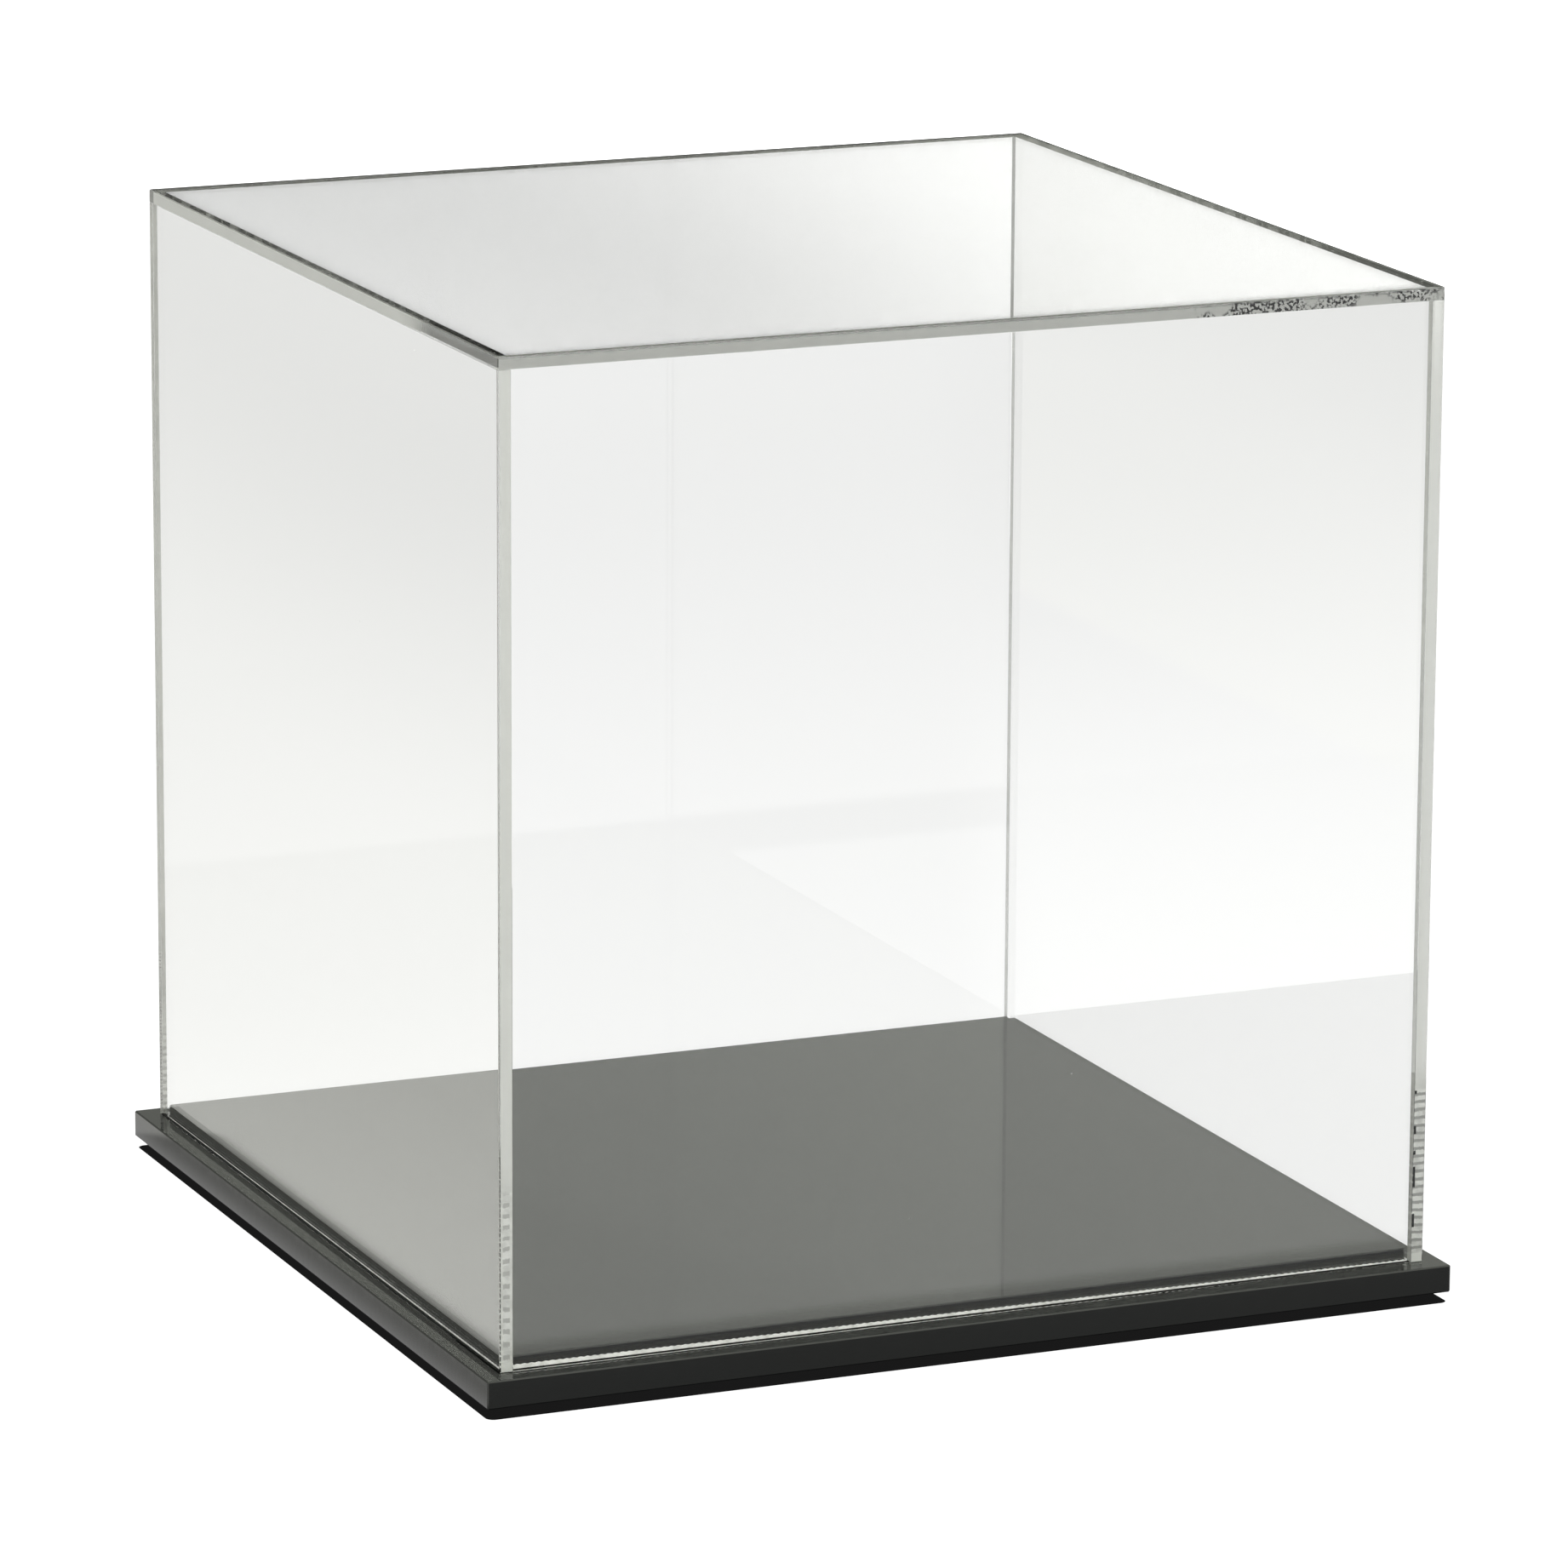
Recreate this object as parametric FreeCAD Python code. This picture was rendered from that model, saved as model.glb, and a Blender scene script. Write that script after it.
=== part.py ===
# Acrylic display cube: a clear five-sided cover that lifts off a black stepped base on four low feet.
# Millimetres. +Z is up, -Y is the front and +X is the right-hand side.
# The origin is on the ground, at the middle of the square of feet.
import FreeCAD, Part
import os

# Cover: a true cube of cemented clear sheet
COVER_SIZE = 300.0
SHEET = 4.0

# The cover's rim stands on the high spots of two machined faces, which keeps their mean planes this far apart
RIM_GAP = 0.05

# Base: a deck plate that fills the inside of the cover, on a lower plate that carries its walls
LOWER_PLATE_THICKNESS = 8.5
LOWER_PLATE_MARGIN = 6.4
DECK_THICKNESS = SHEET
DECK_CLEARANCE = 0.5

# Feet: moulded self-adhesive rubber discs, wider at the plate than at the ground
FOOT_HEIGHT = 3.3
FOOT_TOP_RADIUS = 7.0
FOOT_GROUND_RADIUS = 5.6
FOOT_LIP = 0.6
FOOT_EDGE_ROUND = 0.7
FOOT_INSET = 22.0

# Arrises: the small chamfer that breaks each polished outer edge
COVER_ARRIS = 0.3
BASE_ARRIS = 0.4

# Heights of the faces that the pieces share
PLATE_BOTTOM = FOOT_HEIGHT
PLATE_TOP = PLATE_BOTTOM + LOWER_PLATE_THICKNESS
RIM = PLATE_TOP + RIM_GAP
COVER_TOP = RIM + COVER_SIZE
TOP_SHEET_BOTTOM = COVER_TOP - SHEET

# Half widths of the squares that the pieces fill
COVER_HALF = COVER_SIZE / 2
INSIDE_HALF = COVER_HALF - SHEET
DECK_HALF = INSIDE_HALF - DECK_CLEARANCE
PLATE_HALF = COVER_HALF + LOWER_PLATE_MARGIN
FOOT_OFFSET = PLATE_HALF - FOOT_INSET


def block(low, high):
    """A rectangular solid between its lowest and highest corners."""
    size = [top - bottom for bottom, top in zip(low, high)]
    return Part.makeBox(*size, FreeCAD.Vector(*low))


def square_plate(half, bottom, thickness, arris):
    """A square plate centred on the Z axis, with every outer edge broken by an arris."""
    plate = block((-half, -half, bottom), (half, half, bottom + thickness))
    return plate.makeChamfer(arris, plate.Edges)


def cover_envelope():
    """The outside of the whole cover as one block, with an arris along its twelve edges."""
    return square_plate(COVER_HALF, RIM, COVER_SIZE, COVER_ARRIS)


def top_panel():
    """The sheet that lies over the upper ends of all four walls."""
    sheet = block((-COVER_HALF, -COVER_HALF, TOP_SHEET_BOTTOM), (COVER_HALF, COVER_HALF, COVER_TOP))
    return sheet.common(cover_envelope())


def side_panel(side):
    """A full-depth side wall, whose upright ends show at the front and the back. side is -1 or +1 along X."""
    near, far = sorted((side * INSIDE_HALF, side * COVER_HALF))
    wall = block((near, -COVER_HALF, RIM), (far, COVER_HALF, TOP_SHEET_BOTTOM))
    return wall.common(cover_envelope())


def end_panel(end):
    """A front or back wall, cemented between the side walls. end is -1 or +1 along Y."""
    near, far = sorted((end * INSIDE_HALF, end * COVER_HALF))
    wall = block((-INSIDE_HALF, near, RIM), (INSIDE_HALF, far, TOP_SHEET_BOTTOM))
    return wall.common(cover_envelope())


def lower_plate():
    """The thick plate that stands out past the cover all round and carries its walls."""
    return square_plate(PLATE_HALF, PLATE_BOTTOM, LOWER_PLATE_THICKNESS, BASE_ARRIS)


def deck_plate():
    """The raised plate that locates the cover and on which an exhibit stands."""
    half, bottom, top = DECK_HALF, PLATE_TOP, PLATE_TOP + DECK_THICKNESS
    plate = block((-half, -half, bottom), (half, half, top))
    exposed_edges = [edge for edge in plate.Edges if edge.BoundBox.ZMax > bottom]
    return plate.makeChamfer(BASE_ARRIS, exposed_edges)


def foot(x, y):
    """A disc with an upright lip under the plate, a tapered side and a rounded edge at the ground."""
    lip_bottom = FOOT_HEIGHT - FOOT_LIP
    profile = Part.makePolygon([
        FreeCAD.Vector(0, 0, 0),
        FreeCAD.Vector(FOOT_GROUND_RADIUS, 0, 0),
        FreeCAD.Vector(FOOT_TOP_RADIUS, 0, lip_bottom),
        FreeCAD.Vector(FOOT_TOP_RADIUS, 0, FOOT_HEIGHT),
        FreeCAD.Vector(0, 0, FOOT_HEIGHT),
        FreeCAD.Vector(0, 0, 0),
    ])
    up = FreeCAD.Vector(0, 0, 1)
    disc = Part.Face(profile).revolve(FreeCAD.Vector(0, 0, 0), up, 360)
    ground_edges = [edge for edge in disc.Edges if edge.BoundBox.ZMax < lip_bottom / 2]
    rounded = disc.makeFillet(FOOT_EDGE_ROUND, ground_edges)
    rounded.translate(FreeCAD.Vector(x, y, 0))
    return rounded


def all_pieces():
    """Every separate piece of the display cube, by name."""
    pieces = {
        "top_panel": top_panel(),
        "front_panel": end_panel(-1),
        "back_panel": end_panel(1),
        "left_panel": side_panel(-1),
        "right_panel": side_panel(1),
        "lower_plate": lower_plate(),
        "deck_plate": deck_plate(),
    }
    for row, y in (("front", -FOOT_OFFSET), ("back", FOOT_OFFSET)):
        for column, x in (("left", -FOOT_OFFSET), ("right", FOOT_OFFSET)):
            pieces[f"foot_{row}_{column}"] = foot(x, y)
    return pieces


def write_pieces():
    """Write each piece as one STEP file of one solid."""
    os.makedirs("parts", exist_ok=True)
    for name, shape in all_pieces().items():
        solid = shape.Solids[0]
        if len(shape.Solids) != 1 or not solid.isValid():
            raise ValueError(f"{name} is not one valid solid")
        solid.exportStep(f"parts/{name}.step")
        print(f"{name}: {solid.Volume:.1f} mm3")


write_pieces()
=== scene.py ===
import math

import bpy
import numpy as np
from mathutils import Matrix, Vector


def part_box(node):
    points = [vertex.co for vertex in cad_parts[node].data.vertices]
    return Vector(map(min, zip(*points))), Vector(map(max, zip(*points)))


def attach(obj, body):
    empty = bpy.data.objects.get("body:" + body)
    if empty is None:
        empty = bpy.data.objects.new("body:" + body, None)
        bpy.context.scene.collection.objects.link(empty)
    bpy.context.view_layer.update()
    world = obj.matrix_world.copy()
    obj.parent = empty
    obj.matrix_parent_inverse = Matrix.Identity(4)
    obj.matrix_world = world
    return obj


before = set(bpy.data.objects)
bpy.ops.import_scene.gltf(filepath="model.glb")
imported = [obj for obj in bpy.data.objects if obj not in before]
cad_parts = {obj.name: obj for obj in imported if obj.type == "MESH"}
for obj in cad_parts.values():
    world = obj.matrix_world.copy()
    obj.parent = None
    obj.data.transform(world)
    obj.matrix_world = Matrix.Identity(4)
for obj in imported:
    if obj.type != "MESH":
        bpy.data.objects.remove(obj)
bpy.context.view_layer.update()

bl_info = {
    "name": "Acrylic Display Cube",
    "version": (1, 0, 0),
    "blender": (4, 5, 0),
    "location": "3D View > Sidebar > Display Cube",
    "description": "Finishes a clear lift-off cover on a gloss black base, and lights it for a picture",
    "category": "Object",
}

CLEAR_WALLS = ("front_panel", "back_panel", "left_panel", "right_panel")
BLACK_PLATES = ("lower_plate", "deck_plate")
FEET = tuple(f"foot_{row}_{column}" for row in ("front", "back") for column in ("left", "right"))

# Planes of the cover and of the base, read from the frame, in metres
TOP_LOW, TOP_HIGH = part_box("top_panel")
COVER_HALF = TOP_HIGH.x
SHEET = TOP_HIGH.z - TOP_LOW.z
INSIDE_HALF = COVER_HALF - SHEET
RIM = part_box("left_panel")[0].z
SEAM = TOP_LOW.z
PLATE_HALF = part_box("lower_plate")[1].x

# How near a point has to be to a plane to count as on it, in metres
ON_PLANE = 0.00005

# The small chamfer along the cover's outer edges
ARRIS = 0.0003

# Skins lie this far inside the sheet, and skins and films stop this far short of its faces
SKIN_DEPTH = 0.00002
SKIN_MARGIN = 0.0001

# How far above the rim the cutter's marks show in the front ends of the side walls, and in the back ends
FRONT_MARKED = 0.055
BACK_MARKED = 0.075

# The frosted foot of every upright end
FOOT_FROST = 0.003

# The rungs that the cutter left on the upright ends: how many of its marks lie between them, how dark they
# are, and the half width of the left-hand ones, which fade out over a short way
BACK_SPACING, RIGHT_SPACING, LEFT_SPACING = 1.0, 2.2, 3.2
BACK_DARK, RIGHT_DARK, LEFT_DARK = 0.8, 0.5, 0.35
RUNG_HALF, RUNG_FADE = 0.0009, 0.0004

# Half the width of the broken line on the right-hand front end, and the noise above which the line shows
DASH_HALF = 0.0008
DASH_LEVEL = 0.53

# How much of the back left-hand end is hazed low down and high up, and how far above the rim it has cleared
HAZE_LOW, HAZE_HIGH = 0.35, 0.06
HAZE_CLEARED = 0.2

# The greys of the cut edges, where 1 is white
UPRIGHT_GREY = 0.85
TOP_FRONT_GREY = 0.58
TOP_LEFT_GREY = 0.92
TOP_BACK_GREY = 0.45
# The rim's near-black is a painted reflection of the black plate that the rim stands on
RIM_PAINTED_DARK = 0.02

# Along the top sheet's front edge, the chips start this far to the right of the middle
CHIPS_START = 0.068

# The top sheet's left-hand edge is clear in front of the first place and hazed behind the second
LEFT_CLEAR, LEFT_HAZED = -0.1, -0.07

# How much the cement is hazed in the upright corners, over the front and back walls, and at the back end of
# the side walls
CORNER_HAZE = 0.45
FRONT_HAZE, BACK_HAZE = 0.4, 0.3
LEFT_HAZE, RIGHT_HAZE = 0.05, 0.35

# Features per metre of the noise in a finish
BEND_SCALE = 70.0
CHATTER_SCALE = 1400.0
BLOTCH_SCALE = 260.0
SPECK_SCALE = 55.0
DASH_SCALE = 90.0
CHIP_SCALE, CHIPPED_SCALE = 1000.0, 70.0
BUBBLE_SCALE, HAZE_SCALE = 650.0, 90.0
GRAIN_SCALE, RUBBED_SCALE = 1800.0, 240.0

# The refractive index of acrylic
ACRYLIC_INDEX = 1.491

# The shadow painted on the floor under the base: the radius of its corners, how far it stays inside the
# outline, and its level
SHADOW_CORNER = 0.003
SHADOW_INSET = 0.0004
SHADOW_LEVEL = 0.01

# The level at which the floor and the surround are pure white to the camera, whatever their tint
WHITE = 1.1

# Changes in the floor's level, each as the two places between which it changes, in metres, and its values
# there: away from the camera behind the base, and on the right; out to the right beyond the far edge of the
# part behind; and at the front, towards the base, where it is dimmed as painted shade, and far from it
FADE_BEHIND = (0.0, 1.2, 1.01, 0.81)
FADE_ON_RIGHT = (0.2, 1.0, 1.07, 0.98)
RISE_FAR_BEHIND = (0.55, 0.95, 1.68, 2.4)
PAINTED_SHADE_BY_FRONT = (-0.215, -0.2, 1.0, 0.3)
FADE_FAR_FRONT = (-1.2, -0.4, 1.3, 1.0)

# The same on the left: beside the plate, where painted shade dims the floor, beyond its painted shadow, far
# out to the side, and front to back
PAINTED_SHADE_BY_PLATE = (0.0, 0.012, 0.3, 1.0)
RISE_PAST_SHADOW = (0.012, 0.019, 0.33, 1.0)
FADE_FAR_LEFT = (0.2, 0.5, 1.0, 0.7)
FADE_LEFT = (-0.1, 0.35, 1.27, 0.97)

# The places between which one part of the floor gives way to the next, in metres
RIGHT_OF_LINE = (0.06, 0.11)
FAR_START = (1.35, 1.375)
FAR_SIDE = (0.432, 0.45)

# Changes in the surround's level, by how far right, back or up a direction points
HORIZON = (0.37, 0.43, 0.03, 0.22)
MIDDLE_ACROSS = (0.35, 0.44, 0.42, 0.58)
MIDDLE_START = (0.2, 0.26)
BEHIND_CAMERA = (-0.5, -0.1, 1.7, 0.0)
OVERHEAD = (0.4, 0.8, 0.0, 0.9)

# Tints of the surround and of the floor's left-hand part
SURROUND_TINT = (0.97, 1.0, 0.9, 1.0)
LEFT_TINT = (1.0, 1.0, 0.95, 1.0)
PLAIN = (1.0, 1.0, 1.0, 1.0)


# ---------------------------------------------------------------- sizes and colours that a user may change

class CoverProperties(bpy.types.PropertyGroup):
    """The clear cover."""
    polish: bpy.props.FloatProperty(
        name="Polish", description="Roughness of the polished faces", default=0.0, min=0.0, max=0.2)
    tint: bpy.props.FloatVectorProperty(
        name="Tint", description="Colour that one sheet lets through", subtype="COLOR",
        default=(0.985, 0.988, 0.983), min=0.0, max=1.0)
    depth_colour: bpy.props.FloatVectorProperty(
        name="Depth Colour", description="Colour that a long way through the sheet tends to", subtype="COLOR",
        default=(0.36, 0.37, 0.35), min=0.0, max=1.0)
    depth_loss: bpy.props.FloatProperty(
        name="Depth Loss", description="How fast light fades inside a wall, per metre", default=1.5, min=0.0)
    top_loss: bpy.props.FloatProperty(
        name="Top Loss", description="How fast light fades inside the top sheet, per metre",
        default=4.2, min=0.0)
    satin: bpy.props.FloatProperty(
        name="Satin", description="Roughness of the top sheet's scraped back edge",
        default=0.15, min=0.0, max=1.0)
    arris_satin: bpy.props.FloatProperty(
        name="Arris Satin", description="Roughness of the scraped chamfer round the top", default=0.6,
        min=0.0, max=1.0)
    edge_polish: bpy.props.FloatProperty(
        name="Edge Polish", description="Roughness of the polished edges", default=0.03,
        min=0.0, max=1.0)
    mark_pitch: bpy.props.FloatProperty(
        name="Mark Pitch", description="Distance between the cutter's marks on a machined edge",
        default=0.0011, unit="LENGTH", min=0.0002)
    mark_depth: bpy.props.FloatProperty(
        name="Mark Depth", description="Depth of the cutter's marks on a machined edge",
        default=0.000004, unit="LENGTH", min=0.0)
    frost_colour: bpy.props.FloatVectorProperty(
        name="Frost Colour", description="Colour of sawn or scraped acrylic", subtype="COLOR",
        default=(0.96, 0.96, 0.94), min=0.0, max=1.0)
    bevel: bpy.props.FloatProperty(
        name="Bevel", description="Height of the sawn bevel along the foot of a wall, where it is highest",
        default=0.0014, unit="LENGTH", min=0.0001)
    # The bevel's glow is painted light: emission on the sawn acrylic in place of the light that the wall
    # pipes down to it
    painted_bevel_glow: bpy.props.FloatProperty(
        name="Bevel Glow", description="Light that a wall pipes down to its sawn bevel", default=0.3, min=0.0)
    cement_film: bpy.props.FloatProperty(
        name="Cement Film", description="Thickness of the cement in a seam", default=0.00003, unit="LENGTH",
        min=0.00001)


class BaseProperties(bpy.types.PropertyGroup):
    """The gloss black base."""
    colour: bpy.props.FloatVectorProperty(
        name="Colour", description="Colour of the black sheet", subtype="COLOR",
        default=(0.0075, 0.008, 0.0078), min=0.0, max=1.0)
    polish: bpy.props.FloatProperty(
        name="Polish", description="Roughness of the gloss faces", default=0.01, min=0.0, max=1.0)
    satin: bpy.props.FloatProperty(
        name="Satin", description="Roughness of the machined edges", default=0.12, min=0.0, max=1.0)
    mark_pitch: bpy.props.FloatProperty(
        name="Mark Pitch", description="Distance between the cutter's marks on a machined edge",
        default=0.0009, unit="LENGTH", min=0.0002)
    mark_depth: bpy.props.FloatProperty(
        name="Mark Depth", description="Depth of the cutter's marks on a machined edge",
        default=0.000002, unit="LENGTH", min=0.0)


class FootProperties(bpy.types.PropertyGroup):
    """The rubber feet."""
    colour: bpy.props.FloatVectorProperty(
        name="Colour", description="Colour of the rubber", subtype="COLOR",
        default=(0.02, 0.02, 0.02), min=0.0, max=1.0)
    grain: bpy.props.FloatProperty(
        name="Grain", description="Depth of the moulded grain", default=0.00008, unit="LENGTH", min=0.0)


class StageProperties(bpy.types.PropertyGroup):
    """The floor, the light and the camera."""
    floor_size: bpy.props.FloatProperty(
        name="Floor Size", description="Width of the square floor", default=24.0, unit="LENGTH", min=1.0)
    azimuth: bpy.props.FloatProperty(
        name="Azimuth", description="Turn of the camera round the object, 0 at the front",
        default=math.radians(-23.18), subtype="ANGLE")
    elevation: bpy.props.FloatProperty(
        name="Elevation", description="Height of the camera above the horizon",
        default=math.radians(13.589), subtype="ANGLE")
    roll: bpy.props.FloatProperty(
        name="Roll", description="Turn of the camera about its own line of sight",
        default=math.radians(0.313), subtype="ANGLE")
    distance: bpy.props.FloatProperty(
        name="Distance", description="From the camera to the point that it looks at",
        default=2.7007, unit="LENGTH")
    aim: bpy.props.FloatVectorProperty(
        name="Aim", description="Point that the camera looks at", subtype="XYZ",
        default=(0.0028, 0.0, 0.1404))
    focal_length: bpy.props.FloatProperty(
        name="Focal Length", description="Focal length on a 36 mm sensor, in millimetres", default=200.91)


# ---------------------------------------------------------------- node building

def add(tree, kind, inputs=None, **settings):
    """Add one node. inputs maps a socket's name or number to a value or to the socket that feeds it."""
    node = tree.nodes.new(kind)
    for name, value in settings.items():
        setattr(node, name, value)
    for key, value in (inputs or {}).items():
        if isinstance(value, bpy.types.NodeSocket):
            tree.links.new(value, node.inputs[key])
        else:
            node.inputs[key].default_value = value
    return node


def calc(tree, operation, *values):
    """The output of one Math node."""
    return add(tree, "ShaderNodeMath", dict(enumerate(values)), operation=operation).outputs[0]


def product(tree, *values):
    """All the values multiplied together."""
    total = values[0]
    for value in values[1:]:
        total = calc(tree, "MULTIPLY", total, value)
    return total


def either(tree, *masks):
    """The largest of the masks, so that any of them is enough."""
    most = masks[0]
    for mask in masks[1:]:
        most = calc(tree, "MAXIMUM", most, mask)
    return most


def ramp(tree, value, start, end, low, high):
    """low up to start, high from end on, and a smooth step between them."""
    return add(tree, "ShaderNodeMapRange", {
        "Value": value, "From Min": start, "From Max": end, "To Min": low, "To Max": high,
    }, interpolation_type="SMOOTHSTEP").outputs[0]


def pick(tree, mask, off, on):
    """off where the mask is 0 and on where it is 1."""
    return add(tree, "ShaderNodeMix", {0: mask, 2: off, 3: on}).outputs[0]


def blend_colour(tree, mask, off, on):
    """Colour off where the mask is 0 and colour on where it is 1."""
    mix = add(tree, "ShaderNodeMix", {0: mask, 6: off, 7: on}, data_type="RGBA")
    return mix.outputs[2]


def noise(tree, vector, scale, detail=2.0):
    """Noise between 0 and 1, with the given number of features per metre."""
    return add(tree, "ShaderNodeTexNoise", {"Vector": vector, "Scale": scale, "Detail": detail}).outputs[0]


def near(tree, value, target):
    """1 where a coordinate is on a plane, else 0."""
    return calc(tree, "COMPARE", value, target, ON_PLANE)


def beyond(tree, value, limit):
    """1 where a value is above a limit, else 0."""
    return calc(tree, "GREATER_THAN", value, limit)


def place(tree):
    """The object coordinates as a vector and as three numbers."""
    vector = add(tree, "ShaderNodeTexCoord").outputs["Object"]
    split = add(tree, "ShaderNodeSeparateXYZ", {0: vector})
    return vector, split.outputs[0], split.outputs[1], split.outputs[2]


def new_material(name):
    """A material with a Principled shader on its output, and that shader."""
    material = bpy.data.materials.new(name)
    material.use_nodes = True
    shader = material.node_tree.nodes["Principled BSDF"]
    return material, material.node_tree, shader


def new_group(name, inputs, outputs):
    """An empty shader node group: its tree, its input node and its output node. Names map to socket kinds."""
    tree = bpy.data.node_groups.new(name, "ShaderNodeTree")
    for socket, kind in inputs.items():
        tree.interface.new_socket(name=socket, in_out="INPUT", socket_type=kind)
    for socket, kind in outputs.items():
        tree.interface.new_socket(name=socket, in_out="OUTPUT", socket_type=kind)
    return tree, tree.nodes.new("NodeGroupInput"), tree.nodes.new("NodeGroupOutput")


def use_group(tree, group, inputs):
    """Add a node group to a tree, and give values or links to its inputs by name."""
    return add(tree, "ShaderNodeGroup", inputs, node_tree=group)


def shared_group(name, build):
    """The node group of that name, built the first time that it is asked for."""
    return bpy.data.node_groups.get(name) or build()


def finish_node(node_name, material):
    """Give a CAD piece its material in every slot."""
    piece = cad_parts[node_name]
    piece.data.materials.clear()
    piece.data.materials.append(material)


# ---------------------------------------------------------------- effects that several materials share

def machined_marks():
    """Ridges across an edge at an even pitch, with fine chatter, and blotches where the cut is duller.

    The height is the sine of the distance along the edge over the pitch, bent by slow noise, plus fine noise.
    """
    tree, given, result = new_group(
        "machined marks",
        {"Vector": "NodeSocketVector", "Along": "NodeSocketFloat", "Pitch": "NodeSocketFloat",
         "Depth": "NodeSocketFloat"},
        {"Height": "NodeSocketFloat", "Blotches": "NodeSocketFloat"})
    vector = given.outputs["Vector"]
    turns = calc(tree, "DIVIDE", given.outputs["Along"], given.outputs["Pitch"])
    bend = product(tree, noise(tree, vector, BEND_SCALE), 6.0)
    ridges = calc(tree, "SINE", calc(tree, "MULTIPLY_ADD", turns, math.tau, bend))
    chatter = calc(tree, "MULTIPLY_ADD", noise(tree, vector, CHATTER_SCALE, 1.0), 2.0, -1.0)
    height = product(tree, calc(tree, "MULTIPLY_ADD", chatter, 0.7, ridges), given.outputs["Depth"])
    tree.links.new(height, result.inputs["Height"])
    blotches = ramp(tree, noise(tree, vector, BLOTCH_SCALE, 3.0), 0.42, 0.62, 0.0, 1.0)
    tree.links.new(blotches, result.inputs["Blotches"])
    return tree


def handling_wear():
    """Where a gloss face has lost its polish: hairlines in two directions, and specks of dust.

    A hairline is where noise, stretched along one direction, is near one high value. A speck is the inside of
    a small circle round a scattered point.
    """
    tree, given, result = new_group(
        "handling wear", {"Vector": "NodeSocketVector"},
        {"Hairlines": "NodeSocketFloat", "Specks": "NodeSocketFloat"})
    lines = []
    for turn in (0.35, 1.9):
        stretched = add(tree, "ShaderNodeMapping", {
            "Vector": given.outputs["Vector"], "Rotation": (turn, turn, turn), "Scale": (6.0, 220.0, 220.0)})
        strands = noise(tree, stretched.outputs[0], 1.0, 0.0)
        lines.append(calc(tree, "COMPARE", strands, 0.7, 0.004))
    tree.links.new(either(tree, *lines), result.inputs["Hairlines"])
    points = add(tree, "ShaderNodeTexVoronoi", {"Vector": given.outputs["Vector"], "Scale": SPECK_SCALE})
    size = product(tree, add(tree, "ShaderNodeSeparateXYZ", {0: points.outputs["Color"]}).outputs[0], 0.013)
    tree.links.new(calc(tree, "LESS_THAN", points.outputs["Distance"], size), result.inputs["Specks"])
    return tree


# ---------------------------------------------------------------- clear acrylic

def cement_mask(tree):
    """1 on the faces that cement joins, else 0.

    A joint face lies in the seam plane under the top sheet, outside the inner faces of the walls, or in the
    plane of a side wall's inner face, outside the inner faces of the front and back walls.
    """
    _, x, y, z = place(tree)
    across = calc(tree, "ABSOLUTE", x)
    along = calc(tree, "ABSOLUTE", y)
    outside = beyond(tree, calc(tree, "MAXIMUM", across, along), INSIDE_HALF + ON_PLANE)
    under_top = product(tree, near(tree, z, SEAM), outside)
    beside_wall = product(tree, near(tree, across, INSIDE_HALF), beyond(tree, along, INSIDE_HALF + ON_PLANE))
    return either(tree, under_top, beside_wall)


def top_arris(tree):
    """1 on the small chamfer round the top of the cover, else 0."""
    _, x, y, z = place(tree)
    outermost = calc(tree, "MAXIMUM", calc(tree, "ABSOLUTE", x), calc(tree, "ABSOLUTE", y))
    corner = COVER_HALF + TOP_HIGH.z - ARRIS
    return near(tree, calc(tree, "ADD", outermost, z), corner)


def machined_edges(tree):
    """1 on the top sheet's edges, 1 on the upright ends of the side walls, and the distance along each."""
    _, x, y, z = place(tree)
    across = calc(tree, "ABSOLUTE", x)
    along = calc(tree, "ABSOLUTE", y)
    outermost = beyond(tree, calc(tree, "MAXIMUM", across, along), COVER_HALF - ON_PLANE)
    top_edge = product(tree, outermost, beyond(tree, z, SEAM))
    upright = product(tree, near(tree, along, COVER_HALF), beyond(tree, across, INSIDE_HALF),
                      calc(tree, "LESS_THAN", z, SEAM))
    level = pick(tree, beyond(tree, across, along), x, y)
    return top_edge, upright, pick(tree, upright, level, z)


def clear_acrylic(settings, marks, wear, name, loss):
    """Polished clear sheet, with no surface at all where cement joins two sheets.

    The top sheet's back edge and its arris are scraped to a satin. The other edges are polished but keep a
    trace of the cutter. loss is how fast light fades inside the sheet.
    """
    material, tree, shader = new_material(name)
    shader.inputs["Transmission Weight"].default_value = 1.0
    shader.inputs["IOR"].default_value = ACRYLIC_INDEX
    shader.inputs["Base Color"].default_value = (*settings.tint, 1.0)
    vector, _, y, _ = place(tree)
    top_edge, upright, along = machined_edges(tree)
    edge = either(tree, top_edge, upright)
    cut = use_group(tree, marks, {
        "Vector": vector, "Along": along, "Pitch": settings.mark_pitch, "Depth": settings.mark_depth})
    worn = use_group(tree, wear, {"Vector": vector})
    gloss = calc(tree, "MULTIPLY_ADD", worn.outputs["Specks"], 0.3, settings.polish)
    gloss = calc(tree, "MULTIPLY_ADD", worn.outputs["Hairlines"], 0.01, gloss)
    scraped = product(tree, near(tree, y, COVER_HALF), top_edge)
    cut_gloss = pick(tree, scraped, settings.edge_polish, settings.satin)
    tree.links.new(pick(tree, top_arris(tree), pick(tree, edge, gloss, cut_gloss), settings.arris_satin),
                   shader.inputs["Roughness"])
    bump = add(tree, "ShaderNodeBump", {"Strength": edge, "Distance": 1.0, "Height": cut.outputs["Height"]})
    tree.links.new(bump.outputs[0], shader.inputs["Normal"])
    open_share = calc(tree, "SUBTRACT", 1.0, cement_mask(tree))
    tree.links.new(open_share, shader.inputs["Alpha"])
    inside = add(tree, "ShaderNodeVolumeAbsorption", {
        "Color": (*settings.depth_colour, 1.0), "Density": loss})
    tree.links.new(inside.outputs[0], tree.nodes["Material Output"].inputs["Volume"])
    return material


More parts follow.
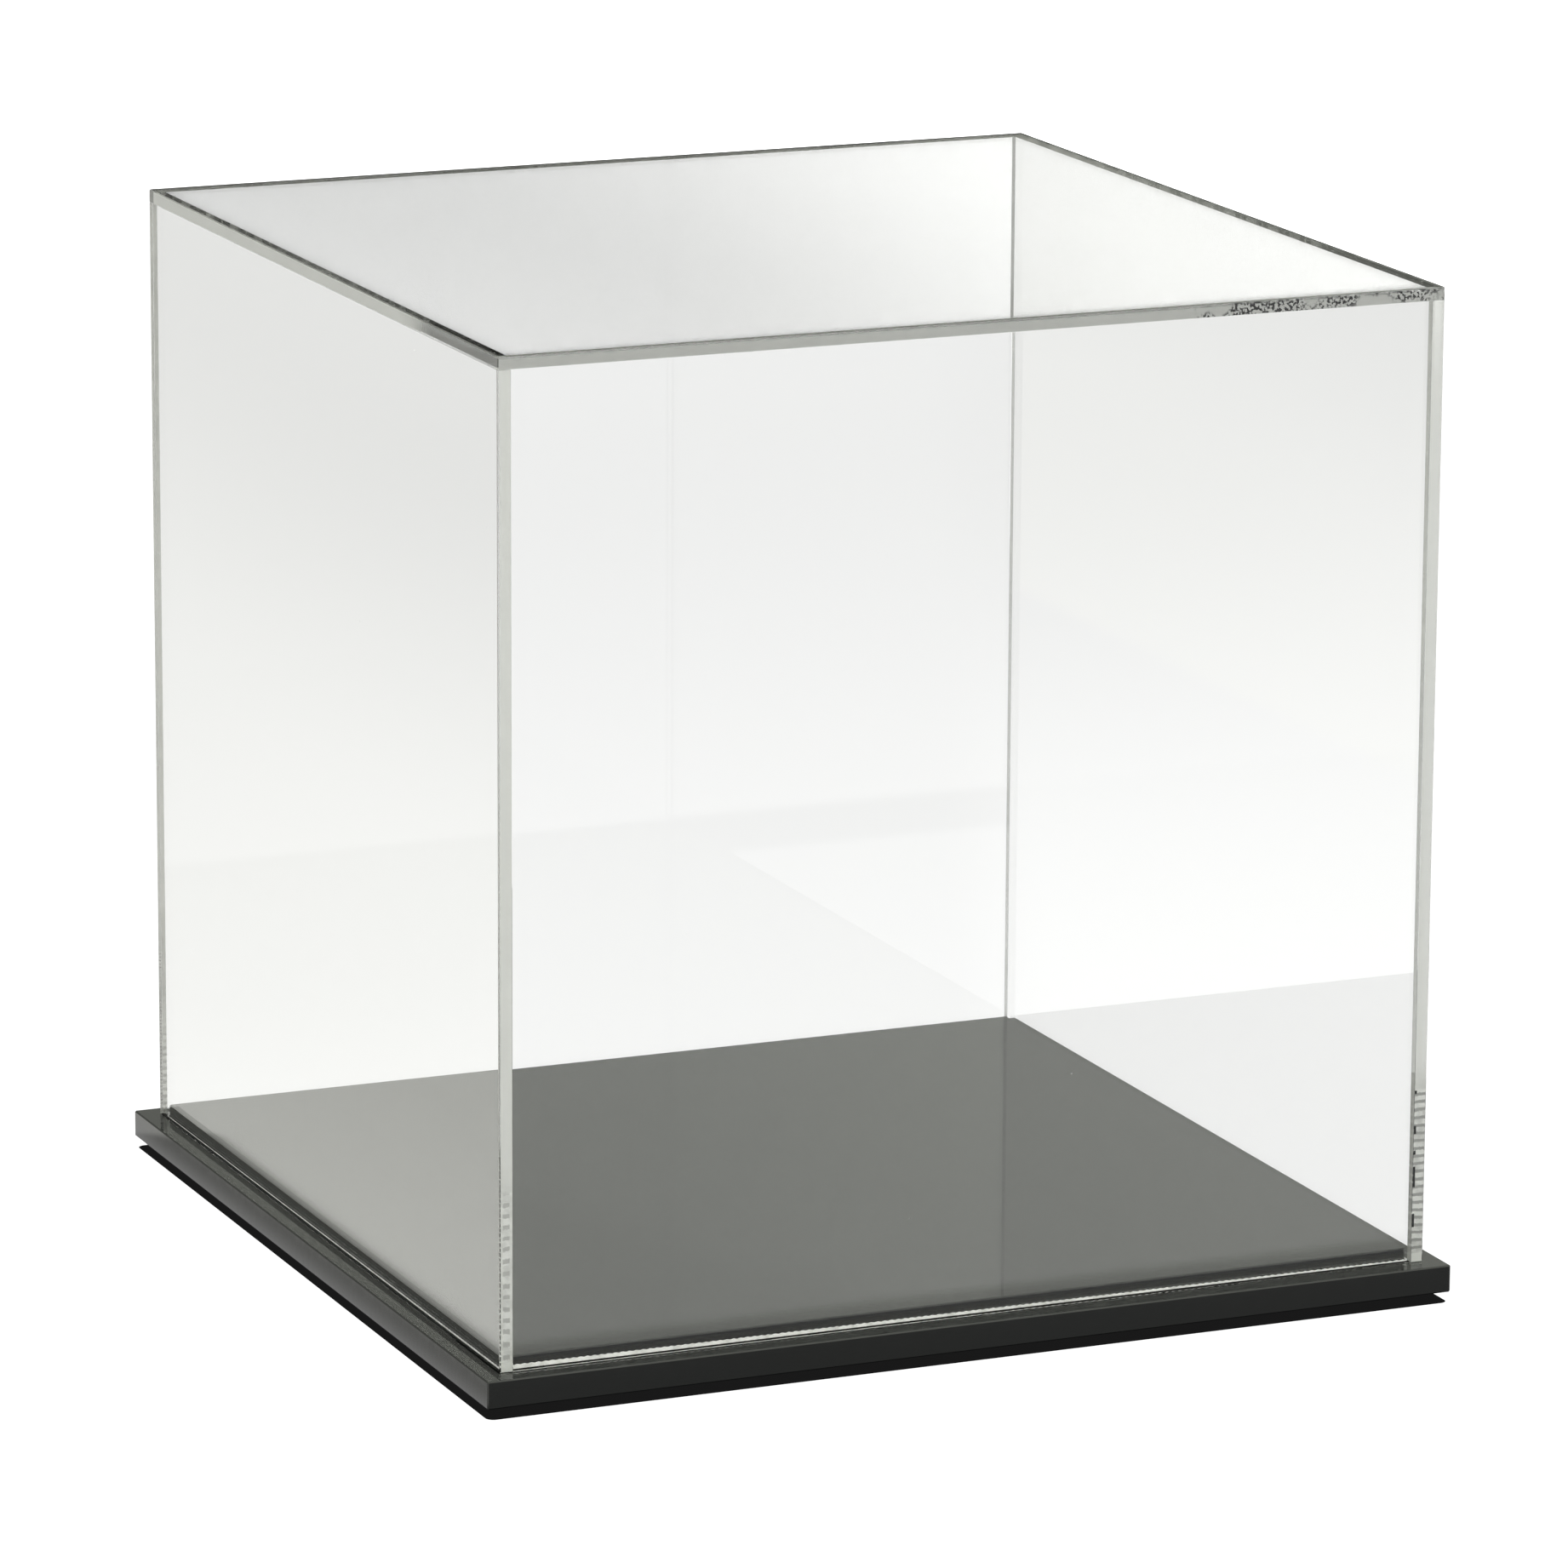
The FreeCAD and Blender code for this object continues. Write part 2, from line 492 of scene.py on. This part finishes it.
def sawn_bevel_finish(settings, marks):
    """Sawn acrylic, which scatters the light round it, with a painted glow that stands in for the light that
    the wall brings down.
    """
    material, tree, shader = new_material("sawn bevel")
    vector, x, y, _ = place(tree)
    beside = beyond(tree, calc(tree, "ABSOLUTE", x), calc(tree, "ABSOLUTE", y))
    cut = use_group(tree, marks, {
        "Vector": vector, "Along": pick(tree, beside, x, y), "Pitch": settings.mark_pitch * 2,
        "Depth": settings.mark_depth})
    white = (*settings.frost_colour, 1.0)
    duller = (*[level * 0.75 for level in settings.frost_colour], 1.0)
    finish = blend_colour(tree, cut.outputs["Blotches"], white, duller)
    tree.links.new(finish, shader.inputs["Base Color"])
    # Painted glow: the bevel's colour also feeds its emission, though it is no lamp
    tree.links.new(finish, shader.inputs["Emission Color"])
    shader.inputs["Emission Strength"].default_value = settings.painted_bevel_glow
    bump = add(tree, "ShaderNodeBump", {"Strength": 1.0, "Distance": 1.0, "Height": cut.outputs["Height"]})
    tree.links.new(bump.outputs[0], shader.inputs["Normal"])
    shader.inputs["Roughness"].default_value = 0.8
    shader.inputs["Specular IOR Level"].default_value = 0.0
    return material


def upright_haze(tree, settings, marks):
    """How dark the upright ends of the side walls are, and how much of them is hazed.

    The cutter left rungs across them, close together at the back, wider apart on the right and widest on the
    left, where they keep clear of both sides. A broken black line runs up the inner side of the right-hand
    front end. The back left-hand end is hazed low down and nearly clear above, and the back right-hand one is
    clear.
    """
    vector, x, y, z = place(tree)
    front = calc(tree, "LESS_THAN", y, 0.0)
    left = calc(tree, "LESS_THAN", x, 0.0)
    spacing = pick(tree, front, BACK_SPACING, pick(tree, left, RIGHT_SPACING, LEFT_SPACING))
    cut = use_group(tree, marks, {
        "Vector": vector, "Along": z, "Pitch": product(tree, spacing, settings.mark_pitch), "Depth": 1.0})
    middle = COVER_HALF - SHEET / 2
    off_middle = calc(tree, "ABSOLUTE", calc(tree, "SUBTRACT", calc(tree, "ABSOLUTE", x), middle))
    narrow = ramp(tree, off_middle, RUNG_HALF, RUNG_HALF + RUNG_FADE, 1.0, 0.0)
    rung = product(tree, ramp(tree, cut.outputs["Height"], 0.0, 0.6, 0.0, 1.0), pick(tree, left, 1.0, narrow))
    rung = either(tree, rung, product(tree, cut.outputs["Blotches"], 0.45))
    darkness = pick(tree, left, RIGHT_DARK, LEFT_DARK)
    in_front = ramp(tree, z, RIM + FRONT_MARKED - 0.002, RIM + FRONT_MARKED, darkness, 0.0)
    marked = pick(tree, front, ramp(tree, z, RIM + 0.02, RIM + BACK_MARKED, BACK_DARK, 0.0), in_front)
    flat = add(tree, "ShaderNodeCombineXYZ", {2: z}).outputs[0]
    broken = beyond(tree, noise(tree, flat, DASH_SCALE), DASH_LEVEL)
    from_inner = calc(tree, "ABSOLUTE", calc(tree, "SUBTRACT", x, INSIDE_HALF))
    inner = calc(tree, "LESS_THAN", from_inner, DASH_HALF)
    dashes = product(tree, broken, inner, front, beyond(tree, marked, 0.1))
    dark = either(tree, product(tree, rung, marked, pick(tree, front, left, 1.0)), dashes)
    cleared = ramp(tree, z, RIM + BACK_MARKED, RIM + HAZE_CLEARED, HAZE_LOW, HAZE_HIGH)
    back_haze = product(tree, left, cleared)
    hazed = pick(tree, front, back_haze, ramp(tree, marked, 0.0, 0.3, 0.6, 0.85))
    return dark, either(tree, hazed, dark)


def edge_haze(settings, marks):
    """The haze that cutting leaves in the exposed edges: light grey, darker in the cutter's marks.

    The top sheet's edges are greyer than the upright ends, but for its left-hand edge, which is clear near
    the front corner. The quarter of its front edge that is nearest the right-hand corner is chipped in
    patches, and so is its right-hand edge. The feet of the upright ends are frosted, and the rim carries a
    painted reflection of the black plate that it stands on, as a near-black film.
    """
    material, tree, shader = new_material("edge haze")
    vector, x, y, z = place(tree)
    on_top = beyond(tree, z, SEAM)
    dark_rungs, hazed = upright_haze(tree, settings, marks)
    at_rim = calc(tree, "LESS_THAN", z, RIM + SKIN_DEPTH * 4)
    foot = calc(tree, "LESS_THAN", z, RIM + FOOT_FROST)
    patches = ramp(tree, noise(tree, vector, CHIPPED_SCALE), 0.45, 0.55, 0.0, 1.0)
    chipped = product(tree, beyond(tree, x, CHIPS_START), patches)
    chips = product(tree, ramp(tree, noise(tree, vector, CHIP_SCALE, 3.0), 0.5, 0.53, 0.0, 1.0), chipped)
    on_left = calc(tree, "LESS_THAN", x, ARRIS - COVER_HALF)
    ahead_grey = pick(tree, on_left, TOP_FRONT_GREY, TOP_LEFT_GREY)
    top_grey = pick(tree, beyond(tree, y, INSIDE_HALF), ahead_grey, TOP_BACK_GREY)
    level = pick(tree, on_top, UPRIGHT_GREY, top_grey)
    dark = pick(tree, on_top, product(tree, dark_rungs, calc(tree, "SUBTRACT", 1.0, foot)), chips)
    # At the rim the film is near-black: a painted reflection of the plate under it
    shade = pick(tree, at_rim, product(tree, level, calc(tree, "SUBTRACT", 1.0, dark)), RIM_PAINTED_DARK)
    tree.links.new(shade, shader.inputs["Base Color"])
    lower = ramp(tree, z, SEAM + SHEET * 0.7, SEAM + SHEET * 0.8, 0.75, 0.3)
    left_haze = ramp(tree, y, LEFT_CLEAR, LEFT_HAZED, 0.05, 0.85)
    top_hazed = pick(tree, on_left, either(tree, lower, product(tree, chips, 0.95)), left_haze)
    cover_share = pick(tree, on_top, either(tree, hazed, product(tree, foot, 0.9)), top_hazed)
    tree.links.new(pick(tree, at_rim, cover_share, 0.9), shader.inputs["Alpha"])
    shader.inputs["Roughness"].default_value = 0.8
    shader.inputs["Specular IOR Level"].default_value = 0.0
    return material


def cement(settings):
    """Clear cement with small bubbles, and hazy in places.

    It is hazy in the upright corners and over the front and back walls. Over the side walls the haze fades
    towards the front, and the left-hand one has little of it.
    """
    material, tree, shader = new_material("cement")
    vector, x, y, z = place(tree)
    cells = add(tree, "ShaderNodeTexVoronoi", {"Vector": vector, "Scale": BUBBLE_SCALE})
    size = add(tree, "ShaderNodeSeparateXYZ", {0: cells.outputs["Color"]}).outputs[0]
    bubble = calc(tree, "LESS_THAN", cells.outputs["Distance"], ramp(tree, size, 0.75, 1.0, 0.0, 0.3))
    most = pick(tree, beyond(tree, x, 0.0), LEFT_HAZE, RIGHT_HAZE)
    over_side = product(tree, beyond(tree, calc(tree, "ABSOLUTE", x), INSIDE_HALF),
                        ramp(tree, y, -COVER_HALF, COVER_HALF, 0.02, most))
    end_haze = pick(tree, beyond(tree, y, 0.0), FRONT_HAZE, BACK_HAZE)
    over_end = product(tree, beyond(tree, calc(tree, "ABSOLUTE", y), INSIDE_HALF), end_haze)
    in_corner = calc(tree, "LESS_THAN", z, SEAM - settings.cement_film)
    haze = pick(tree, in_corner, either(tree, over_side, over_end), CORNER_HAZE)
    uneven = ramp(tree, noise(tree, vector, HAZE_SCALE), 0.3, 0.7, 0.75, 1.0)
    seen = either(tree, product(tree, bubble, 0.5), product(tree, haze, uneven))
    tree.links.new(seen, shader.inputs["Alpha"])
    shader.inputs["Base Color"].default_value = (*settings.frost_colour, 1.0)
    shader.inputs["Roughness"].default_value = 0.6
    return material


def strip_surface(rings):
    """The points and faces of a closed strip, from rings of four points.

    Quads join each ring to the next, and a quad closes each end. rings is an array of ring, point and axis,
    whose points run anticlockwise seen from the first end.
    """
    count = len(rings)
    ring, point = np.meshgrid(np.arange(count - 1), np.arange(4), indexing="ij")
    after = (point + 1) % 4
    sides = np.stack([
        ring * 4 + point, (ring + 1) * 4 + point, (ring + 1) * 4 + after, ring * 4 + after], axis=-1)
    ends = np.array([[0, 1, 2, 3], [3, 2, 1, 0]]) + np.array([[0], [(count - 1) * 4]])
    return rings.reshape(-1, 3), np.concatenate([sides.reshape(-1, 4), ends])


def flat_film(low, high):
    """A thin closed slab between two corners, as a strip of one length along its longest side."""
    low, high = np.array(low), np.array(high)
    axis = int(np.argmax(high - low))
    second, third = [(axis + 1) % 3, (axis + 2) % 3]
    rings = np.zeros((2, 4, 3))
    rings[:, :, axis] = np.array([[low[axis]], [high[axis]]])
    rings[:, :, second] = np.array([low[second], high[second], high[second], low[second]])
    rings[:, :, third] = np.array([low[third], low[third], high[third], high[third]])
    return strip_surface(rings)


def make_piece(name, surfaces, material, body):
    """One object at the origin that holds all the closed surfaces, rides on a body and has a finish."""
    starts = np.cumsum([0] + [len(points) for points, _ in surfaces[:-1]])
    points = np.concatenate([points for points, _ in surfaces])
    faces = np.concatenate([faces + start for start, (_, faces) in zip(starts, surfaces)])
    mesh = bpy.data.meshes.new(name)
    mesh.from_pydata(points.tolist(), [], faces.tolist())
    mesh.materials.append(material)
    piece = bpy.data.objects.new(name, mesh)
    bpy.context.scene.collection.objects.link(piece)
    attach(piece, body)
    return piece


def edge_films():
    """Thin slabs just inside the top sheet's four edges, the upright ends of the side walls and the rim."""
    deep, shallow, reach = COVER_HALF - SKIN_DEPTH * 3, COVER_HALF - SKIN_DEPTH, COVER_HALF - ARRIS
    rim_low, rim_high = RIM + SKIN_DEPTH, RIM + SKIN_DEPTH * 3
    low, high = SEAM + SKIN_MARGIN, TOP_HIGH.z - ARRIS
    films = []
    for side in (-1, 1):
        first, second = sorted((side * deep, side * shallow))
        films.append(flat_film((-reach, first, low), (reach, second, high)))
        films.append(flat_film((first, -reach, low), (second, reach, high)))
        for wall in (-1, 1):
            left, right = sorted((wall * (INSIDE_HALF + SKIN_MARGIN), wall * reach))
            films.append(flat_film((left, first, RIM + ARRIS), (right, second, SEAM - SKIN_MARGIN)))
        inner, outer = sorted((side * (INSIDE_HALF + SKIN_MARGIN), side * reach))
        end = INSIDE_HALF - SKIN_MARGIN
        films.append(flat_film((-end, inner, rim_low), (end, outer, rim_high)))
        films.append(flat_film((inner, -reach, rim_low), (outer, reach, rim_high)))
    return films


def sawn_bevel(settings, axis, side):
    """The narrow sawn bevel along the inner foot of one wall, as a thin upright ribbon just inside the sheet.

    Its height falls in a straight line to two fifths along the wall, and every cutter's mark takes a little
    more off it, as the square of the sine of pi times the distance over the pitch. axis is 0 for a wall along
    X and 1 for one along Y, whose bevel is half as high, and side is -1 or +1.
    """
    end = INSIDE_HALF - SKIN_MARGIN
    pitch = settings.mark_pitch * 2
    distance = np.linspace(0.0, 2 * end, int(2 * end / pitch * 6) + 1)
    fall = 1.0 - 0.6 * distance / (2 * end)
    highest = settings.bevel * (1.0, 0.5)[axis]
    height = highest * (fall - 0.15 * np.sin(np.pi * distance / pitch) ** 2)
    low = RIM + SKIN_DEPTH * 4
    inner, outer = INSIDE_HALF + SKIN_DEPTH, INSIDE_HALF + SKIN_DEPTH * 3
    first, second = (inner, outer) if (side > 0) == (axis == 1) else (outer, inner)
    rings = np.zeros((len(distance), 4, 3))
    rings[:, :, axis] = distance[:, None] - end
    rings[:, :, 1 - axis] = side * np.array([first, second, second, first])
    rings[:, :2, 2] = low
    rings[:, 2:, 2] = low + height[:, None]
    return strip_surface(rings)


def cement_films(settings):
    """The cement under the top sheet, above each wall, and in the four upright corners."""
    half = settings.cement_film / 2
    outer, inner = COVER_HALF - SKIN_MARGIN, INSIDE_HALF + SKIN_MARGIN
    films = []
    for side in (-1, 1):
        near_side, far_side = sorted((side * inner, side * outer))
        films.append(flat_film((near_side, -outer, SEAM - half), (far_side, outer, SEAM + half)))
        films.append(flat_film((-INSIDE_HALF, near_side, SEAM - half), (INSIDE_HALF, far_side, SEAM + half)))
        for end in (-1, 1):
            front, back = sorted((end * inner, end * outer))
            left, right = side * INSIDE_HALF - half, side * INSIDE_HALF + half
            films.append(flat_film((left, front, RIM + ARRIS), (right, back, SEAM - SKIN_MARGIN)))
    return films


class DISPLAYCUBE_OT_finish_cover(bpy.types.Operator):
    """Give the five cemented panels of the cover their clear finish, their cut edges and their cement"""
    bl_idname = "displaycube.finish_cover"
    bl_label = "Finish Cover"

    def execute(self, context):
        settings = context.scene.displaycube_cover
        marks = shared_group("machined marks", machined_marks)
        wear = shared_group("handling wear", handling_wear)
        top = clear_acrylic(settings, marks, wear, "clear acrylic, top", settings.top_loss)
        finish_node("top_panel", top)
        walls = clear_acrylic(settings, marks, wear, "clear acrylic, walls", settings.depth_loss)
        for name in CLEAR_WALLS:
            finish_node(name, walls)
        bevels = [sawn_bevel(settings, axis, side) for axis in (0, 1) for side in (-1, 1)]
        make_piece("sawn_bevels", bevels, sawn_bevel_finish(settings, marks), "cover")
        make_piece("edge_films", edge_films(), edge_haze(settings, marks), "cover")
        make_piece("cement_seams", cement_films(settings), cement(settings), "cover")
        return {"FINISHED"}


# ---------------------------------------------------------------- black acrylic

def plate_edges(tree):
    """1 on the machined outer edges of the lower plate, else 0, and the distance along each edge."""
    _, x, y, _ = place(tree)
    across = calc(tree, "ABSOLUTE", x)
    along = calc(tree, "ABSOLUTE", y)
    outer = near(tree, calc(tree, "MAXIMUM", across, along), PLATE_HALF)
    return outer, pick(tree, beyond(tree, across, along), x, y)


def black_acrylic(settings, marks, wear):
    """Gloss black cast sheet with fine machined edges."""
    material, tree, shader = new_material("black acrylic")
    vector, _, _, _ = place(tree)
    edge, along = plate_edges(tree)
    cut = use_group(tree, marks, {
        "Vector": vector, "Along": along, "Pitch": settings.mark_pitch, "Depth": settings.mark_depth})
    worn = use_group(tree, wear, {"Vector": vector})
    lighter = (*[level * 6 for level in settings.colour], 1.0)
    colour = blend_colour(tree, worn.outputs["Specks"], (*settings.colour, 1.0), lighter)
    tree.links.new(colour, shader.inputs["Base Color"])
    gloss = calc(tree, "MULTIPLY_ADD", worn.outputs["Hairlines"], 0.005, settings.polish)
    gloss = calc(tree, "MULTIPLY_ADD", worn.outputs["Specks"], 0.5, gloss)
    satin = calc(tree, "MULTIPLY_ADD", cut.outputs["Blotches"], settings.satin / 3, settings.satin)
    tree.links.new(pick(tree, edge, gloss, satin), shader.inputs["Roughness"])
    shader.inputs["IOR"].default_value = ACRYLIC_INDEX
    bump = add(tree, "ShaderNodeBump", {"Strength": edge, "Distance": 1.0, "Height": cut.outputs["Height"]})
    tree.links.new(bump.outputs[0], shader.inputs["Normal"])
    return material


class DISPLAYCUBE_OT_finish_base(bpy.types.Operator):
    """Give the two black plates of the base their gloss finish"""
    bl_idname = "displaycube.finish_base"
    bl_label = "Finish Base"

    def execute(self, context):
        marks = shared_group("machined marks", machined_marks)
        wear = shared_group("handling wear", handling_wear)
        material = black_acrylic(context.scene.displaycube_base, marks, wear)
        for name in BLACK_PLATES:
            finish_node(name, material)
        return {"FINISHED"}


# ---------------------------------------------------------------- feet

def foot_rubber(settings):
    """Matt moulded rubber with a fine grain, a little greyer where it has rubbed."""
    material, tree, shader = new_material("foot rubber")
    vector, _, _, _ = place(tree)
    grain = noise(tree, vector, GRAIN_SCALE, 3.0)
    rubbed = ramp(tree, noise(tree, vector, RUBBED_SCALE), 0.45, 0.75, 0.0, 1.0)
    greyer = (*[level * 2.2 for level in settings.colour], 1.0)
    tree.links.new(blend_colour(tree, rubbed, (*settings.colour, 1.0), greyer), shader.inputs["Base Color"])
    tree.links.new(calc(tree, "MULTIPLY_ADD", rubbed, 0.12, 0.75), shader.inputs["Roughness"])
    bump = add(tree, "ShaderNodeBump", {"Strength": 1.0, "Distance": settings.grain, "Height": grain})
    tree.links.new(bump.outputs[0], shader.inputs["Normal"])
    return material


class DISPLAYCUBE_OT_finish_feet(bpy.types.Operator):
    """Give the four feet their rubber finish"""
    bl_idname = "displaycube.finish_feet"
    bl_label = "Finish Feet"

    def execute(self, context):
        material = foot_rubber(context.scene.displaycube_feet)
        for name in FEET:
            finish_node(name, material)
        return {"FINISHED"}


# ---------------------------------------------------------------- stage

def square_floor(size):
    """A flat square at height 0, as one face whose four corners are half the size from the middle."""
    half = size / 2
    corners = np.array([(-1, -1, 0), (1, -1, 0), (1, 1, 0), (-1, 1, 0)], float) * half
    mesh = bpy.data.meshes.new("floor")
    mesh.from_pydata(corners.tolist(), [], [(0, 1, 2, 3)])
    floor = bpy.data.objects.new("floor", mesh)
    bpy.context.scene.collection.objects.link(floor)
    return floor


def beside_base(tree, x, y):
    """How far a point of the floor is from the base's outline, negative under the base.

    The outline is a square with rounded corners: the length of what each coordinate has beyond the square
    that the corners turn about, less the corner's radius.
    """
    reach = PLATE_HALF - SHADOW_CORNER
    over = [calc(tree, "MAXIMUM", calc(tree, "SUBTRACT", calc(tree, "ABSOLUTE", value), reach), 0.0)
            for value in (x, y)]
    squares = calc(tree, "ADD", product(tree, over[0], over[0]), product(tree, over[1], over[1]))
    return calc(tree, "SUBTRACT", calc(tree, "SQRT", squares), SHADOW_CORNER)


def floor_level(tree, azimuth):
    """How bright the floor is to everything but the camera, with painted shade by the base, 1 on its
    left-hand part, and 1 in the painted shadow.

    The camera sees the floor behind the cover through its walls, so that part is told apart by how far right
    it lies of a line through the origin that runs away from the camera.
    """
    _, x, y, _ = place(tree)
    away = beside_base(tree, x, y)
    rightward = calc(tree, "MULTIPLY_ADD", y, math.tan(azimuth), x)
    on_right = ramp(tree, rightward, *RIGHT_OF_LINE, 1.0, ramp(tree, y, *FADE_ON_RIGHT))
    behind = product(tree, ramp(tree, y, *FADE_BEHIND), on_right)
    far_behind = ramp(tree, x, *RISE_FAR_BEHIND)
    far_off = product(tree, ramp(tree, y, *FAR_START, 0.0, 1.0), ramp(tree, x, *FAR_SIDE, 0.0, 1.0))
    close_front = product(tree, ramp(tree, y, *PAINTED_SHADE_BY_FRONT), ramp(tree, y, *FADE_FAR_FRONT))
    front = pick(tree, ramp(tree, y, -PLATE_HALF, -PLATE_HALF + 0.01, 1.0, 0.0), 1.0, close_front)
    right = product(tree, pick(tree, far_off, behind, far_behind), front)
    aside = calc(tree, "SUBTRACT", -PLATE_HALF, x)
    left = product(tree, ramp(tree, away, *PAINTED_SHADE_BY_PLATE), ramp(tree, away, *RISE_PAST_SHADOW),
                   ramp(tree, aside, *FADE_FAR_LEFT), ramp(tree, y, *FADE_LEFT))
    on_left = ramp(tree, x, -0.17, -PLATE_HALF, 1.0, 0.0)
    return pick(tree, on_left, right, left), on_left, calc(tree, "LESS_THAN", away, -SHADOW_INSET)


def floor_material(azimuth):
    """White paper that lights the scene: pure white straight on, uneven in reflections, with a painted shadow
    under the base.

    The light from its left-hand part is a little warmer.
    """
    material, tree, shader = new_material("floor paper")
    level, on_left, shadow = floor_level(tree, azimuth)
    straight = add(tree, "ShaderNodeLightPath").outputs["Is Camera Ray"]
    # Under the base the floor is set to a painted shadow at SHADOW_LEVEL
    shown = pick(tree, shadow, either(tree, level, product(tree, straight, WHITE)), SHADOW_LEVEL)
    tint = blend_colour(tree, on_left, PLAIN, LEFT_TINT)
    glow = add(tree, "ShaderNodeVectorMath", {0: tint, "Scale": shown}, operation="SCALE")
    tree.links.new(glow.outputs[0], shader.inputs["Emission Color"])
    shader.inputs["Emission Strength"].default_value = 1.0
    shader.inputs["Base Color"].default_value = (0.0, 0.0, 0.0, 1.0)
    shader.inputs["Roughness"].default_value = 1.0
    shader.inputs["Specular IOR Level"].default_value = 0.0
    return material


def studio_light(scene):
    """A soft surround: bright overhead and behind the camera, dark low down behind the cover."""
    world = bpy.data.worlds.new("studio")
    world.use_nodes = True
    scene.world = world
    tree = world.node_tree
    direction = add(tree, "ShaderNodeTexCoord").outputs["Generated"]
    split = add(tree, "ShaderNodeSeparateXYZ", {0: direction})
    across, depth, height = split.outputs
    horizon = ramp(tree, across, *HORIZON)
    middle = ramp(tree, height, *MIDDLE_START, 0.0, ramp(tree, across, *MIDDLE_ACROSS))
    front = ramp(tree, depth, *BEHIND_CAMERA)
    overhead = ramp(tree, height, *OVERHEAD)
    level = calc(tree, "ADD", either(tree, horizon, middle, front), overhead)
    straight = add(tree, "ShaderNodeLightPath").outputs["Is Camera Ray"]
    background = tree.nodes["Background"]
    tree.links.new(either(tree, level, product(tree, straight, WHITE)), background.inputs["Strength"])
    background.inputs["Color"].default_value = SURROUND_TINT


def aim_camera(scene, settings):
    """A camera at a distance from its aim, in the direction that azimuth and elevation give, rolled."""
    data = bpy.data.cameras.new("camera")
    data.lens = settings.focal_length
    data.clip_end = settings.floor_size * 2
    camera = bpy.data.objects.new("camera", data)
    scene.collection.objects.link(camera)
    scene.camera = camera
    turn, lift, roll = settings.azimuth, settings.elevation, settings.roll
    back = np.array((math.sin(turn) * math.cos(lift), -math.cos(turn) * math.cos(lift), math.sin(lift)))
    level_right = np.array((math.cos(turn), math.sin(turn), 0.0))
    level_up = np.cross(back, level_right)
    right = math.cos(roll) * level_right + math.sin(roll) * level_up
    up = np.cross(back, right)
    pose = np.eye(4)
    pose[:3, 0], pose[:3, 1], pose[:3, 2] = right, up, back
    pose[:3, 3] = np.array(settings.aim) + back * settings.distance
    camera.matrix_world = Matrix(pose.tolist())


class DISPLAYCUBE_OT_build_stage(bpy.types.Operator):
    """Lay the floor, set the light and place the camera"""
    bl_idname = "displaycube.build_stage"
    bl_label = "Build Stage"

    def execute(self, context):
        scene = context.scene
        settings = scene.displaycube_stage
        floor = square_floor(settings.floor_size)
        floor.data.materials.append(floor_material(settings.azimuth))
        studio_light(scene)
        aim_camera(scene, settings)
        scene.view_settings.view_transform = "Standard"
        scene.cycles.max_bounces = 96
        scene.cycles.glossy_bounces = 64
        scene.cycles.transmission_bounces = 64
        scene.cycles.transparent_max_bounces = 64
        return {"FINISHED"}


# ---------------------------------------------------------------- panel, registration and the run

OPERATORS = (
    DISPLAYCUBE_OT_finish_cover,
    DISPLAYCUBE_OT_finish_base,
    DISPLAYCUBE_OT_finish_feet,
    DISPLAYCUBE_OT_build_stage,
)

SETTINGS = {
    "displaycube_cover": CoverProperties,
    "displaycube_base": BaseProperties,
    "displaycube_feet": FootProperties,
    "displaycube_stage": StageProperties,
}


class DISPLAYCUBE_PT_panel(bpy.types.Panel):
    """Lists the steps that finish the display cube"""
    bl_idname = "DISPLAYCUBE_PT_panel"
    bl_label = "Display Cube"
    bl_space_type = "VIEW_3D"
    bl_region_type = "UI"
    bl_category = "Display Cube"

    def draw(self, context):
        for operator in OPERATORS:
            self.layout.operator(operator.bl_idname)
        for name, group in SETTINGS.items():
            box = self.layout.box()
            for field in group.__annotations__:
                box.prop(getattr(context.scene, name), field)


def register():
    for group in SETTINGS.values():
        bpy.utils.register_class(group)
    for name, group in SETTINGS.items():
        setattr(bpy.types.Scene, name, bpy.props.PointerProperty(type=group))
    for operator in OPERATORS:
        bpy.utils.register_class(operator)
    bpy.utils.register_class(DISPLAYCUBE_PT_panel)


def unregister():
    bpy.utils.unregister_class(DISPLAYCUBE_PT_panel)
    for operator in reversed(OPERATORS):
        bpy.utils.unregister_class(operator)
    for name, group in SETTINGS.items():
        delattr(bpy.types.Scene, name)
        bpy.utils.unregister_class(group)


def main():
    register()
    for operator in OPERATORS:
        family, action = operator.bl_idname.split(".")
        getattr(getattr(bpy.ops, family), action)()


if __name__ == "__main__":
    main()
